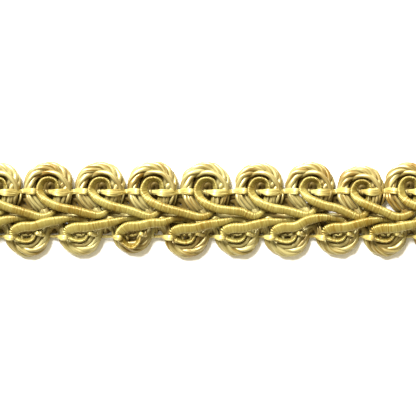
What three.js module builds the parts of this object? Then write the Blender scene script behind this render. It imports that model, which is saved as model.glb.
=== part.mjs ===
// Braid trim: a cut length of two-row scroll gimp, lying flat with its face up.
// X runs along the trim, Y across it, and Z up from the surface it lies on. All sizes are in mm.
import * as THREE from "three";

// The trim
const PITCH = 6.94; // one scroll to the next
const UPPER_EYE = 3.35; // the upper eyes, above the trim's long axis
const LOWER_EYE = -3.68; // the lower eyes, below it
const RING_END = -1.5; // what is nearer the middle line than this belongs to the sweeps, and not to the ring around an eye

// The satin-wrapped gimp cord: flattened, broad side up on its sweeps and on edge around an eye
const GIMP_WIDE = 1.3;
const GIMP_THICK = 0.66;
const GIMP_STEP = 1.0; // longest step along the cord
const GIMP_TURN = 0.5; // most turn in a step, in radians

// The twisted loop yarn: four floss plies
const PLIES = 4;
const YARN_WIDE = 1.45;
const YARN_THICK = 1.45;
const YARN_HEIGHT = 0.5; // its middle above the surface; its underside is pressed flat
const YARN_STEP = 0.84;
const YARN_TURN = 0.6;
const PLY_LAY = 8.4; // one full turn of a ply
const PLY_GROOVE = 0.8; // a groove's depth line, as a share of the ply's crown

// The binding threads: flat floss
const FLOSS_WIDE = 0.8;
const FLOSS_NARROW = 0.68; // bunched up in the squeezed lower row
const FLOSS_THICK = 0.24;
const CENTRE_WIDE = 0.34;
const CENTRE_THICK = 0.24;

// Cross-sections in a unit square, anticlockwise
const GIMP_SECTION = [[1, 0], [0.74, 0.8], [0, 1], [-0.74, 0.8], [-1, 0], [-0.74, -0.8], [0, -1], [0.74, -0.8]];
const FLOSS_SECTION = [[1, 0], [0.66, 1], [-0.66, 1], [-1, 0], [-0.66, -1], [0.66, -1]];
const PLY_SECTION = Array.from({ length: 2 * PLIES }, (_, i) => {
  const r = i % 2 ? PLY_GROOVE : 1;
  return [r * Math.cos((i * Math.PI) / PLIES), r * Math.sin((i * Math.PI) / PLIES)];
});

const table = (names, rows) => rows.map((row) => Object.fromEntries(names.map((n, i) => [n, row[i]])));

// Where each scroll sits and how it differs from its neighbours: the eye along the trim and across it, the size of
// its loop, and how far the tail that comes to it strays.
const SCROLL = ["along", "across", "size", "tailAlong", "tailAcross"];
const UPPER_SCROLLS = table(SCROLL, [
  [-35.2, 0.0, 1.0, 0.0, 0.0],
  [-28.25, 0.02, 1.0, 0.0, 0.05],
  [-21.31, 0.04, 1.01, -0.2, 0.1],
  [-14.34, -0.02, 1.0, 0.05, 0.15],
  [-7.3, 0.03, 1.02, -0.1, 0.1],
  [-0.09, -0.02, 1.0, -0.1, -0.05],
  [7.01, 0.0, 0.99, -0.4, 0.0],
  [13.91, 0.04, 1.0, -0.3, 0.2],
  [20.7, -0.03, 0.94, -0.1, 0.1],
  [27.07, 0.0, 0.92, -0.1, 0.15],
  [34.0, 0.0, 1.0, 0.0, 0.0],
]);
const LOWER_SCROLLS = table(SCROLL, [
  [-31.3, 0.0, 1.0, 0.0, 0.0],
  [-24.39, 0.0, 1.0, -0.1, 0.0],
  [-17.23, -0.03, 0.98, -0.5, 0.0],
  [-10.32, 0.05, 1.05, -0.3, 0.05],
  [-2.95, 0.0, 1.0, -0.9, 0.0],
  [3.86, 0.02, 0.98, 0.15, 0.1],
  [10.61, 0.0, 1.0, 0.0, 0.1],
  [17.37, -0.2, 0.97, 0.25, 0.1],
  [23.85, -0.1, 0.98, 0.15, 0.15],
  [30.6, 0.0, 1.0, 0.0, 0.0],
]);

// One scroll of each strand, from the eye's middle: across is away from the trim's middle line, height is up, roll
// tips the broad side, next is the share that follows the next scroll's eye, and loose the share of its tail's stray.
const STRAND = ["along", "across", "height", "wide", "thick", "roll", "next", "loose"];
const G = GIMP_WIDE;
const g = GIMP_THICK;
const UPPER_GIMP = table(STRAND, [
  [1.08, -2.85, 1.18, 0.95, 0.6, -12, 0, 0.5],
  [1.3, -1.65, 1.25, 1.1, g, -45, 0, 0],
  [1.12, -0.3, 1.45, G, g, -68, 0, 0],
  [0.76, 0.66, 1.5, G, g, -70, 0, 0],
  [0.0, 0.98, 1.55, G, g, -68, 0, 0],
  [-0.9, 0.72, 1.6, G, g, -58, 0, 0],
  [-1.34, 0.0, 1.78, G, g, -45, 0, 0],
  [-1.45, -0.8, 2.02, G, g, -28, 0, 0],
  [-1.07, -1.74, 2.25, G, g, -10, 0, 0],
  [0.0, -2.48, 2.42, G, g, 0, 0, 0],
  [1.61, -3.12, 2.42, G, g, 0, 0, 0],
  [3.22, -3.5, 2.35, 1.15, g, 0, 0.2, 0],
  [4.49, -3.86, 2.25, 1.0, g, 0, 0.5, 0.2],
  [5.76, -4.1, 2.15, 0.95, g, -5, 0.8, 0.6],
  [6.79, -4.0, 1.98, 0.95, g, -10, 1, 1],
  [7.57, -3.62, 1.55, 0.92, 0.6, -14, 1, 1],
]);
const LOWER_GIMP = table(STRAND, [
  [0.75, -2.2, 1.15, 0.86, 0.54, -10, 0, 0.4],
  [1.42, -1.35, 1.25, 1.0, 0.58, -45, 0, 0],
  [1.42, -0.4, 1.4, 1.1, 0.6, -66, 0, 0],
  [0.85, 0.42, 1.45, 1.15, 0.6, -70, 0, 0],
  [0.0, 0.6, 1.5, 1.2, 0.6, -68, 0, 0],
  [-0.95, 0.35, 1.6, 1.25, g, -58, 0, 0],
  [-1.4, -0.3, 1.85, 1.25, g, -40, 0, 0],
  [-1.15, -1.1, 2.12, 1.2, g, -20, 0, 0],
  [-0.3, -1.66, 2.35, 1.1, g, -5, 0, 0],
  [1.0, -1.68, 2.4, 1.0, g, 0, 0, 0],
  [2.7, -1.72, 2.35, 0.95, g, 0, 0.2, 0],
  [4.1, -2.1, 2.2, 0.95, g, 0, 0.5, 0.2],
  [5.3, -2.44, 1.88, 0.92, g, -5, 0.8, 0.6],
  [6.5, -2.6, 1.42, 0.88, 0.56, -10, 1, 1],
]);
const Y = YARN_WIDE;
const y = YARN_THICK;
const h = YARN_HEIGHT;
const UPPER_YARN = table(STRAND, [
  [-1.9, -4.2, 0.2, 0.7, 0.5, 0, 0, 0],
  [-0.9, -3.95, 0.2, 0.7, 0.5, 0, 0, 0],
  [0.2, -3.48, 0.2, 0.75, 0.5, 0, 0, 0],
  [1.35, -3.0, 0.24, 0.85, 0.55, 0, 0, 0],
  [2.2, -2.1, 0.42, 1.25, 1.05, 0, 0, 0],
  [2.48, -1.0, h, Y, y, 0, 0, 0],
  [2.44, 0.3, h, Y, y, 0, 0, 0],
  [1.8, 1.7, h, Y, y, 0, 0, 0],
  [0.45, 2.35, h, Y, y, 0, 0, 0],
  [-0.95, 2.08, h, Y, y, 0, 0, 0],
  [-2.0, 1.2, h, Y, y, 0, 0, 0],
  [-2.42, -0.1, h, Y, y, 0, 0, 0],
  [-2.46, -1.35, h, Y, y, 0, 0, 0],
  [-2.05, -2.4, 0.55, 1.25, 1.1, 0, 0, 0],
  [-1.3, -3.3, 0.85, 0.9, 0.6, 0, 0, 0],
  [-0.5, -4.0, 1.02, 0.7, 0.46, 0, 0, 0],
  [0.7, -4.3, 0.55, 0.65, 0.46, 0, 0, 0],
  [2.2, -4.25, 0.2, 0.65, 0.5, 0, 0.3, 0],
]);
const LOWER_YARN = table(STRAND, [
  [-2.75, -1.45, 0.35, 0.9, 0.7, 0, 0, 0],
  [-2.35, -0.7, 0.45, 1.2, 1.1, 0, 0, 0],
  [-2.1, 0.4, 0.45, 1.25, 1.25, 0, 0, 0],
  [-1.2, 1.35, 0.45, 1.25, 1.25, 0, 0, 0],
  [0.2, 1.72, 0.45, 1.25, 1.25, 0, 0, 0],
  [1.5, 1.2, 0.45, 1.25, 1.25, 0, 0, 0],
  [2.2, 0.0, 0.45, 1.2, 1.25, 0, 0, 0],
  [2.35, -0.9, 0.42, 1.05, 0.9, 0, 0, 0],
  [2.75, -1.48, 0.33, 0.85, 0.65, 0, 0, 0],
  [3.47, -1.8, 0.22, 0.7, 0.55, 0, 0.5, 0],
]);
const F = FLOSS_WIDE;
const N = FLOSS_NARROW;
const f = FLOSS_THICK;
const UPPER_FLOSS = table(STRAND, [
  [-3.0, -0.78, 1.55, F, f, 0, 0, 0],
  [-2.5, -0.78, 2.2, F, f, 0, 0, 0],
  [-1.95, -0.78, 3.02, F, f, 0, 0, 0],
  [-1.25, -0.78, 3.1, F, f, 0, 0, 0],
  [-0.6, -0.78, 2.6, F, f, 0, 0, 0],
  [0.1, -0.78, 1.7, F, f, 0, 0, 0],
  [0.7, -0.78, 2.25, F, f, 0, 0, 0],
  [1.3, -0.78, 2.5, F, f, 0, 0, 0],
  [2.1, -0.78, 1.95, F, f, 0, 0, 0],
  [3.2, -0.78, 1.52, F, f, 0, 0, 0],
]);
const LOWER_FLOSS = table(STRAND, [
  [-3.0, -0.24, 1.35, N, f, 0, 0, 0],
  [-2.5, -0.24, 1.85, N, f, 0, 0, 0],
  [-2.0, -0.24, 2.85, N, f, 0, 0, 0],
  [-1.3, -0.24, 3.0, N, f, 0, 0, 0],
  [-0.6, -0.24, 2.42, N, f, 0, 0, 0],
  [0.15, -0.24, 1.85, N, f, 0, 0, 0],
  [0.85, -0.24, 2.2, N, f, 0, 0, 0],
  [1.6, -0.24, 2.5, N, f, 0, 0, 0],
  [2.3, -0.24, 1.9, N, f, 0, 0, 0],
  [3.2, -0.24, 1.4, N, f, 0, 0, 0],
]);
const CENTRE_THREAD = table(STRAND, [
  [0.1, -4.95, 1.1, CENTRE_WIDE, CENTRE_THICK, 0, 0, 0],
  [1.15, -4.4, 1.3, CENTRE_WIDE, CENTRE_THICK, 0, 0, 0],
  [2.2, -4.88, 0.97, CENTRE_WIDE, CENTRE_THICK, 0, 0.2, 0],
  [3.4, -5.05, 0.7, CENTRE_WIDE, CENTRE_THICK, 0, 0.5, 0],
  [4.62, -5.32, 0.25, CENTRE_WIDE, CENTRE_THICK, 0, 0.7, 0],
  [5.5, -5.12, 0.75, CENTRE_WIDE, CENTRE_THICK, 0, 0.9, 0],
]);

// A strand's path through every scroll, with its cross-section changing along it.
class Strand extends THREE.Curve {
  constructor(rows, longest, mostTurn, lay = 0) {
    super();
    this.path = new THREE.CatmullRomCurve3(rows.map((r) => new THREE.Vector3(r.x, r.y, r.height)));
    this.girth = new THREE.CatmullRomCurve3(
      rows.map((r) => new THREE.Vector3(r.wide, r.thick, r.roll)), false, "catmullrom", 0.5);
    this.stations = this.placeStations(24 * (rows.length - 1), longest, mostTurn, lay);
  }

  // Stations lie closer together where the strand turns.
  placeStations(fine, longest, mostTurn, lay) {
    const marks = [{ t: 0, twist: 0 }];
    let [cost, length] = [0, 0];
    let [point, heading] = [this.path.getPoint(0), this.path.getTangent(0)];
    for (let i = 1; i <= fine; i++) {
      const t = i / fine;
      const [nextPoint, nextHeading] = [this.path.getPoint(t), this.path.getTangent(t)];
      const step = nextPoint.distanceTo(point);
      length += step;
      cost += Math.max(step / longest, nextHeading.angleTo(heading) / mostTurn);
      if (cost >= 1 && i < fine - 2) {
        marks.push({ t, twist: lay ? (2 * Math.PI * length) / lay : 0 });
        cost = 0;
      }
      [point, heading] = [nextPoint, nextHeading];
    }
    marks.push({ t: 1, twist: lay ? (2 * Math.PI * length) / lay : 0 });
    return marks;
  }

  getPoint(t, target = new THREE.Vector3()) {
    return this.path.getPoint(t, target);
  }

  getSpacedPoints() {
    return this.stations.map((s) => this.path.getPoint(s.t));
  }

  // The two directions in which a cross-section is drawn: level and upright, rolled, stretched and twisted.
  computeFrenetFrames() {
    const frames = { tangents: [], normals: [], binormals: [] };
    for (const { t, twist } of this.stations) {
      const tangent = this.path.getTangent(t);
      const side = new THREE.Vector3(0, 0, 1).cross(tangent).normalize();
      const up = tangent.clone().cross(side);
      const girth = this.girth.getPoint(t);
      const roll = THREE.MathUtils.degToRad(girth.z);
      const broad = side.clone().multiplyScalar(Math.cos(roll)).addScaledVector(up, Math.sin(roll)).multiplyScalar(girth.x / 2);
      const thin = up.clone().multiplyScalar(Math.cos(roll)).addScaledVector(side, -Math.sin(roll)).multiplyScalar(girth.y / 2);
      frames.tangents.push(tangent);
      frames.normals.push(broad.clone().multiplyScalar(Math.cos(twist)).addScaledVector(thin, Math.sin(twist)));
      frames.binormals.push(thin.clone().multiplyScalar(Math.cos(twist)).addScaledVector(broad, -Math.sin(twist)));
    }
    return frames;
  }
}

// The rows of a strand through a row of scrolls; face is 1 in the upper row and -1 in the mirrored lower row.
function chain(template, scrolls, eye, face, from, to) {
  const rows = [];
  scrolls.forEach((scroll, i) => {
    const next = scrolls[i + 1] ?? { ...scroll, along: scroll.along + PITCH };
    for (const r of template) {
      const ring = r.across > RING_END;
      const size = ring ? scroll.size : 1;
      const here = scroll.along + r.along * size;
      const there = next.along + r.along - PITCH;
      const stray = r.next > 0.5 ? next : scroll;
      const rise = ring ? scroll.across : 0;
      rows.push({
        x: here * (1 - r.next) + there * r.next + stray.tailAlong * r.loose,
        y: eye + face * (rise + r.across * size + stray.tailAcross * r.loose),
        height: r.height,
        wide: r.wide,
        thick: r.thick,
        roll: face * r.roll,
      });
    }
  });
  return rows.slice(from, rows.length - to);
}

function outline(section) {
  return new THREE.Shape(section.map(([x, z]) => new THREE.Vector2(x, z)));
}

// A strand as one closed solid, with whatever would reach below the surface pressed flat on it.
function strand(name, section, rows, longest, mostTurn, finish, lay) {
  const curve = new Strand(rows, longest, mostTurn, lay);
  const steps = curve.stations.length - 1;
  const geometry = new THREE.ExtrudeGeometry(outline(section), { steps, extrudePath: curve, curveSegments: 1 });
  const p = geometry.attributes.position;
  for (let i = 0; i < p.count; i++) p.setZ(i, Math.max(0, p.getZ(i)));
  const mesh = new THREE.Mesh(geometry, finish);
  mesh.name = name;
  mesh.userData = { steps, corners: section.length };
  return mesh;
}

const satin = new THREE.MeshStandardMaterial({ name: "gimp_satin", color: 0xd2b96a, roughness: 0.45 });
const floss = new THREE.MeshStandardMaterial({ name: "loop_floss", color: 0xd8bd62, roughness: 0.5 });
const pale = new THREE.MeshStandardMaterial({ name: "binding_floss", color: 0xe4d488, roughness: 0.5 });

const trim = new THREE.Group();
trim.name = "braid_trim";
trim.add(
  strand("upper_gimp_cord", GIMP_SECTION, chain(UPPER_GIMP, UPPER_SCROLLS, UPPER_EYE, 1, 10, 17), GIMP_STEP, GIMP_TURN, satin.clone()),
  strand("lower_gimp_cord", GIMP_SECTION, chain(LOWER_GIMP, LOWER_SCROLLS, LOWER_EYE, -1, 6, 3), GIMP_STEP, GIMP_TURN, satin.clone()),
  strand("upper_loop_yarn", PLY_SECTION, chain(UPPER_YARN, UPPER_SCROLLS, UPPER_EYE, 1, 17, 16), YARN_STEP, YARN_TURN, floss.clone(), PLY_LAY),
  strand("lower_loop_yarn", PLY_SECTION, chain(LOWER_YARN, LOWER_SCROLLS, LOWER_EYE, -1, 3, 2), YARN_STEP, YARN_TURN, floss.clone(), PLY_LAY),
  strand("upper_binding_thread", FLOSS_SECTION, chain(UPPER_FLOSS, UPPER_SCROLLS, UPPER_EYE, 1, 8, 9), 1.3, 0.6, pale.clone()),
  strand("lower_binding_thread", FLOSS_SECTION, chain(LOWER_FLOSS, LOWER_SCROLLS, LOWER_EYE, -1, 5, 1), 1.3, 0.6, pale.clone()),
  strand("centre_binding_thread", FLOSS_SECTION, chain(CENTRE_THREAD, UPPER_SCROLLS, UPPER_EYE, 1, 2, 6), 1.6, 0.4, pale.clone()),
);

// The origin is on the surface, under the middle of the trim.
const box = new THREE.Box3().setFromObject(trim);
const middle = box.getCenter(new THREE.Vector3());
trim.children.forEach((m) => m.geometry.translate(-middle.x, -middle.y, 0));

export default trim;
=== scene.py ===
"""Braid trim: a cut length of two-row scroll gimp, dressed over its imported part.

Satin-wrapped gimp cord scrolls through an upper and a lower row of eyes, twisted floss yarn loops around
each eye, and flat binding floss ties the rows together. Lengths in the tables are in millimetres, and the
meshes in metres.
"""

import logging
import math
from dataclasses import dataclass, replace
from enum import Enum

import bpy
import numpy as np
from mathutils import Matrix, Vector


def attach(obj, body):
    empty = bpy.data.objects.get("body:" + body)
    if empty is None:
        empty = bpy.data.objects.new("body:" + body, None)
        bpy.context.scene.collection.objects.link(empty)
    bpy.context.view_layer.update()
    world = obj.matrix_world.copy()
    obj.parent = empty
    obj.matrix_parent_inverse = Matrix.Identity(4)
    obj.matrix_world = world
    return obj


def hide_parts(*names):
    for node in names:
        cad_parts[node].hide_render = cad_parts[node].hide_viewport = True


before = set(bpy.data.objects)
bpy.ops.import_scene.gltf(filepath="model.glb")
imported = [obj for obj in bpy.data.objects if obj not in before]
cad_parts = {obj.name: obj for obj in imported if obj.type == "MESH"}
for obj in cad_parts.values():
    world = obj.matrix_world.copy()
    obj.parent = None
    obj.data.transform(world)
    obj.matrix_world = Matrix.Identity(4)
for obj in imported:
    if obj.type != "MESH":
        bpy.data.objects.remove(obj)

LOG = logging.getLogger("braid_trim")
MM = 0.001

# The pattern
PITCH = 6.94  # the usual distance from one eye to the next
MIDDLE = (-0.0965, -0.1947)  # where the tables' own zero lies in the part's frame
RING_END = -1.5  # nearer the middle line than this is a sweep, and not the ring around an eye
RING_FAR = -0.6  # farther out than this, the ring takes its scroll's own ring size
SWEEP_BLEND = 0.9  # the stretch across the trim in which a ring becomes a sweep
DROP_START = -0.3  # farther out than this, a scroll's drop adds to its ring

# The strands
FINE_STEPS = 40  # points between two knots, from which the even samples are taken
RUN_SHIFT = 23.7  # how far apart the travel of separate plies starts, so that no two are uneven alike
GIMP_WIDE, GIMP_THICK = 1.24, 0.85
UPPER_GIRTH, UPPER_BED = 1.55, 0.6  # the loop yarn's girth and the height of its middle
LOWER_GIRTH, LOWER_BED = 1.5, 0.52
FLOSS_THICK = 0.16
CENTRE_WIDE, CENTRE_THICK = 0.2, 0.12
SLACK_GIRTH = 0.8  # the section that a slack ply's own slight winding goes by
LOOSE_GIRTH = 0.3  # the same for the short loose plies
FINE_PLY, STOUT_PLY = 0.17, 0.27  # the radii of the short loose plies
LEAST_REACH = 0.12  # how near to the yarn's middle a ply's own middle may come
LEAST_SPACING = 1e-4  # keeps knots in one place from dividing by nothing

# A short ply's knots: the shares of its length, its stray and its lean, and the rise from its height
LOOSE_SHAPE = [(0.5, 0.5, 0.0, -0.35), (0.2, 1.0, 0.0, 0.0), (-0.15, 1.0, 0.4, 0.0), (-0.5, 0.0, 1.0, -0.4)]

# Unevenness
REACH_SWELL, GIRTH_SWELL = 0.22, 0.45  # how far a swelling ply moves out and how much it thickens
FILAMENT_RISE, FILAMENT_SWELL = 0.5, 0.3  # the same for a filament of the flat floss
STRAY, REPEAT_PHASE, PLY_PHASE = 0.12, 2.6, 1.9  # how far loose plies stray, and how that turns among them

# Socket types
INT, FLOAT, MATERIAL = "NodeSocketInt", "NodeSocketFloat", "NodeSocketMaterial"


class Face(Enum):
    """The two rows of scrolls: the side of the middle line that each is on, and where its eyes are."""

    UPPER = (1, 3.35)
    LOWER = (-1, -3.68)

    @property
    def side(self) -> int:
        """1 for the upper row, and -1 for the lower, which is its mirror image."""
        return self.value[0]

    @property
    def eye(self) -> float:
        """How far the row's eyes are from the trim's long axis."""
        return self.value[1]


@dataclass(frozen=True)
class Scroll:
    """One repeat of the pattern and how it differs from its neighbours."""

    along: float
    across: float = 0.0
    size: float = 1.0
    tail_along: float = 0.0
    tail_across: float = 0.0
    ring: float = 1.0  # the gimp ring's size within its yarn loop
    drop: float = 0.0  # how much farther out the ring's far side bulges
    lift: float = 0.0  # how much nearer to the middle line the sweep starts
    hump: float = 0.0  # how much nearer to it the sweep's tail lies

    def plain(self, *names: str) -> "Scroll":
        """The same repeat without the named differences."""
        return replace(self, **{name: getattr(Scroll, name) for name in names})


@dataclass(frozen=True)
class Knot:
    """One point of a strand's path within a repeat, from the middle of the eye."""

    along: float
    across: float
    height: float
    wide: float
    thick: float
    roll: float = 0.0
    follow: float = 0.0  # the share that follows the next repeat's eye
    loose: float = 0.0  # the share of the tail's stray


@dataclass(frozen=True)
class LoosePly:
    """One ply that has come loose: its middle from the eye, its height, its length and its foot's lean."""

    along: float
    across: float
    height: float
    length: float
    lean: float = 0.0
    radius: float = FINE_PLY

    def knots(self, stray: float) -> list[Knot]:
        """The ply's path, from its top to its foot.

        Args:
            stray: How far along the trim it has strayed.

        Returns:
            The knots.
        """
        return [Knot(self.along + stray * strayed + self.lean * leaning, self.across + self.length * share,
                     self.height + rise, LOOSE_GIRTH, LOOSE_GIRTH)
                for share, strayed, leaning, rise in LOOSE_SHAPE]


@dataclass(frozen=True)
class Wander:
    """Smooth unevenness along a strand: how it differs from ply to ply, and how quickly it changes."""

    ply_step: float
    start: float
    per_mm: float


ANGLE_WANDER = Wander(7.3, 0.0, 0.55)
GIRTH_WANDER = Wander(5.1, 40.0, 0.9)
DRIFT_WANDER = Wander(3.7, 0.0, 0.7)
RISE_WANDER = Wander(9.1, 30.0, 0.8)


def rows(kind: type, table: list[tuple[float, ...]]) -> list:
    """Turns a table's rows into named records.

    Args:
        kind: The record's dataclass.
        table: Rows of numbers in the order of its fields.

    Returns:
        The records.
    """
    return [kind(*row) for row in table]


def slack_route(table: list[tuple[float, ...]], height: float = 0.0) -> list[Knot]:
    """Makes the path of a slack ply, whose thickness is the ply's own and doesn't come from the knots.

    Args:
        table: Rows of along and across, and of height where it isn't the usual one.
        height: The usual height.

    Returns:
        The knots.
    """
    return [Knot(*row[:2], *(row[2:] or (height,)), SLACK_GIRTH, SLACK_GIRTH) for row in table]


SCROLLS = {
    Face.UPPER: rows(Scroll, [
        (-35.2,),
        (-28.25, 0.02, 1.0, 0.0, 0.2, 1.0, 0.0, -0.1, -0.1),
        (-21.31, 0.04, 1.01, -0.2, 0.0, 1.0, 0.0, -0.12, -0.42),
        (-14.34, -0.02, 1.03, 0.05, 0.15, 1.0, 0.0, -0.28, -0.38),
        (-7.3, 0.03, 1.05, -0.1, 0.0, 1.0, 0.0, -0.04, -0.16),
        (-0.12, -0.02, 1.04, -0.1, -0.05, 1.0, 0.0, 0.1, -0.48),
        (7.01, 0.0, 0.99, -0.4, 0.0, 1.0, 0.0, -0.08, -0.42),
        (13.91, 0.04, 1.0, -0.3, 0.2, 1.0, 0.0, -0.44, -0.49),
        (20.7, -0.3, 0.95, -0.1, -0.12, 1.0, 0.0, -0.08, 0.1),
        (27.07, 0.15, 0.94, -0.1, 0.15),
        (34.0,),
    ]),
    Face.LOWER: rows(Scroll, [
        (-31.3, 0.0, 1.0, 0.0, 0.0, 1.0, 0.0, 0.0, 0.25),
        (-24.34, 0.15, 1.03, -0.1, 0.0, 1.0, 0.0, 0.38, 0.2),
        (-17.23, 0.05, 1.0, -0.5, 0.0, 1.0, 0.0, 0.16, -0.12),
        (-10.2, 0.0, 0.86, -0.3, 0.05, 1.32, 1.6, 0.5, -0.05),
        (-2.95, 0.3, 1.05, -0.9, 0.0, 1.0, 0.0, 0.2, -0.2),
        (3.9, 0.12, 1.03, 0.15, 0.1, 1.0, 0.0, 0.1, 0.0),
        (10.66, 0.2, 1.06, 0.0, 0.35, 1.0, 0.0, 0.32, 0.6),
        (17.42, 0.05, 1.0, 0.25, 0.1, 1.0, 0.0, 0.1, 0.05),
        (23.85, 0.12, 1.0, 0.15, 0.15, 1.0, 0.0, 0.05, -0.2),
        (30.6,),
    ]),
}
UPPER_GIMP = rows(Knot, [
    (0.78, -2.85, 1.15, 0.9, 0.6, -12, 0, 0.5),
    (0.95, -1.65, 1.25, 1.1, 0.5, -55),
    (1.06, -0.4, 1.5, 1.25, 0.36, -64),
    (0.76, 0.42, 1.6, 1.25, 0.36, -62),
    (0.0, 0.72, 1.7, 1.25, 0.38, -62),
    (-0.72, 0.52, 1.75, 1.25, 0.4, -58),
    (-1.08, 0.0, 1.85, 1.22, 0.45, -50),
    (-1.26, -0.75, 2.05, 1.2, 0.55, -34),
    (-1.05, -1.5, 2.22, 1.2, 0.65, -16),
    (-0.45, -2.22, 2.38, 1.2, 0.75, 2),
    (1.39, -3.08, 2.4, GIMP_WIDE, GIMP_THICK, 14),
    (3.3, -3.72, 2.33, GIMP_WIDE, GIMP_THICK, 18, 0.2),
    (4.6, -4.12, 2.22, GIMP_WIDE, GIMP_THICK, 18, 0.5, 0.2),
    (5.76, -4.34, 2.12, 1.15, GIMP_THICK, 14, 0.8, 0.6),
    (6.75, -4.22, 1.95, 1.0, 0.75, 4, 1, 1),
    (7.55, -3.7, 1.55, 0.85, 0.6, -14, 1, 1),
])
LOWER_GIMP = rows(Knot, [
    (0.75, -2.2, 1.15, 1.0, 0.65, -10, 0, 0.4),
    (1.1, -1.3, 1.2, 1.1, 0.6, -45),
    (0.95, -0.5, 1.35, 1.1, 0.45, -60),
    (0.64, 0.08, 1.4, 1.1, 0.42, -58),
    (0.0, 0.3, 1.4, 1.1, 0.42, -56),
    (-0.8, 0.14, 1.45, 1.15, 0.5, -52),
    (-1.5, -0.25, 1.7, 1.3, 0.6, -34),
    (-1.58, -0.85, 2.05, 1.4, 0.75, -20),
    (-0.6, -1.22, 2.3, 1.45, GIMP_THICK, -16),
    (1.0, -1.3, 2.36, 1.42, GIMP_THICK, -18),
    (2.6, -1.62, 2.3, 1.36, GIMP_THICK, -18, 0.2),
    (4.1, -2.04, 2.15, 1.25, GIMP_THICK, -15, 0.5, 0.2),
    (5.3, -2.3, 1.85, 1.0, 0.75, -10, 0.8, 0.6),
    (6.5, -2.5, 1.42, 0.85, 0.6, -10, 1, 1),
])
UPPER_YARN = rows(Knot, [
    (-1.9, -4.2, 0.3, 0.9, 0.6),
    (-0.9, -3.95, 0.3, 0.9, 0.6),
    (0.1, -3.48, 0.3, 0.95, 0.6),
    (1.15, -3.0, 0.5, 1.5, 0.8),
    (1.6, -2.1, 0.85, 1.9, 1.0),
    (1.85, -1.0, 0.9, 2.0, 1.3),
    (2.12, 0.3, 0.68, 2.0, UPPER_GIRTH),
    (1.65, 1.6, UPPER_BED, 1.75, UPPER_GIRTH),
    (0.4, 2.3, UPPER_BED, UPPER_GIRTH, UPPER_GIRTH),
    (-1.1, 2.1, UPPER_BED, 1.6, UPPER_GIRTH),
    (-2.3, 1.22, UPPER_BED, 1.65, UPPER_GIRTH),
    (-2.68, -0.1, UPPER_BED, 1.6, UPPER_GIRTH),
    (-2.55, -1.3, UPPER_BED, UPPER_GIRTH, UPPER_GIRTH),
    (-1.85, -2.2, 0.75, 1.6, 1.3),
    (-0.95, -3.05, 0.85, 1.3, 0.8),
    (-0.2, -3.8, 0.95, 1.0, 0.6),
    (0.9, -4.25, 0.55, 0.8, 0.55),
    (2.2, -4.25, 0.3, 0.85, 0.6, 0, 0.3),
])
LOWER_YARN = rows(Knot, [
    (-2.75, -1.35, 0.5, 1.3, 0.9),
    (-2.35, -0.7, 0.5, 1.35, 1.2),
    (-2.1, 0.4, LOWER_BED, LOWER_GIRTH, LOWER_GIRTH),
    (-1.2, 1.35, LOWER_BED, LOWER_GIRTH, LOWER_GIRTH),
    (0.2, 1.72, LOWER_BED, LOWER_GIRTH, LOWER_GIRTH),
    (1.5, 1.2, LOWER_BED, LOWER_GIRTH, LOWER_GIRTH),
    (2.2, 0.0, LOWER_BED, LOWER_GIRTH, LOWER_GIRTH),
    (2.35, -0.9, 0.55, 1.4, 1.0),
    (2.75, -1.4, 0.5, 1.3, 0.9),
    (3.47, -1.6, 0.4, 1.3, 0.8, 0, 0.5),
])
UPPER_FLOSS = [Knot(*row, FLOSS_THICK) for row in [
    (-3.0, -0.8, 1.3, 0.62),
    (-2.5, -0.85, 1.95, 0.66),
    (-2.0, -0.87, 2.1, 0.66),
    (-1.55, -0.88, 1.5, 0.62),
    (-1.0, -0.9, 1.1, 0.5),
    (-0.3, -0.9, 1.0, 0.4),
    (0.3, -0.94, 1.5, 0.45),
    (0.75, -1.0, 2.1, 0.7),
    (1.3, -1.03, 2.25, 0.8),
    (2.1, -1.02, 1.85, 0.8),
    (3.2, -0.9, 0.85, 0.5),
]]
LOWER_FLOSS = [Knot(*row, FLOSS_THICK) for row in [
    (-3.1, -0.1, 0.9, 0.26),
    (-2.7, -0.02, 1.6, 0.45),
    (-2.3, 0.05, 2.2, 0.55),
    (-1.85, 0.08, 2.3, 0.5),
    (-1.5, 0.0, 1.3, 0.4),
    (-1.1, -0.2, 0.7, 0.3),
    (0.1, -0.24, 0.35, 0.25),
    (0.85, -0.28, 0.9, 0.3),
    (1.42, -0.52, 2.2, 0.44),
    (2.0, -0.3, 1.4, 0.36),
    (2.9, -0.1, 0.5, 0.22),
]]
CENTRE_THREAD = rows(Knot, [
    (0.1, -4.95, 1.1, CENTRE_WIDE, CENTRE_THICK),
    (1.15, -4.4, 1.45, CENTRE_WIDE, CENTRE_THICK),
    (2.2, -4.88, 0.97, CENTRE_WIDE, CENTRE_THICK, 0, 0.2),
    (3.4, -5.05, 0.7, CENTRE_WIDE, CENTRE_THICK, 0, 0.5),
    (4.62, -5.32, 0.25, CENTRE_WIDE, CENTRE_THICK, 0, 0.7),
    (5.5, -5.12, 0.75, CENTRE_WIDE, CENTRE_THICK, 0, 0.9),
])

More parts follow.
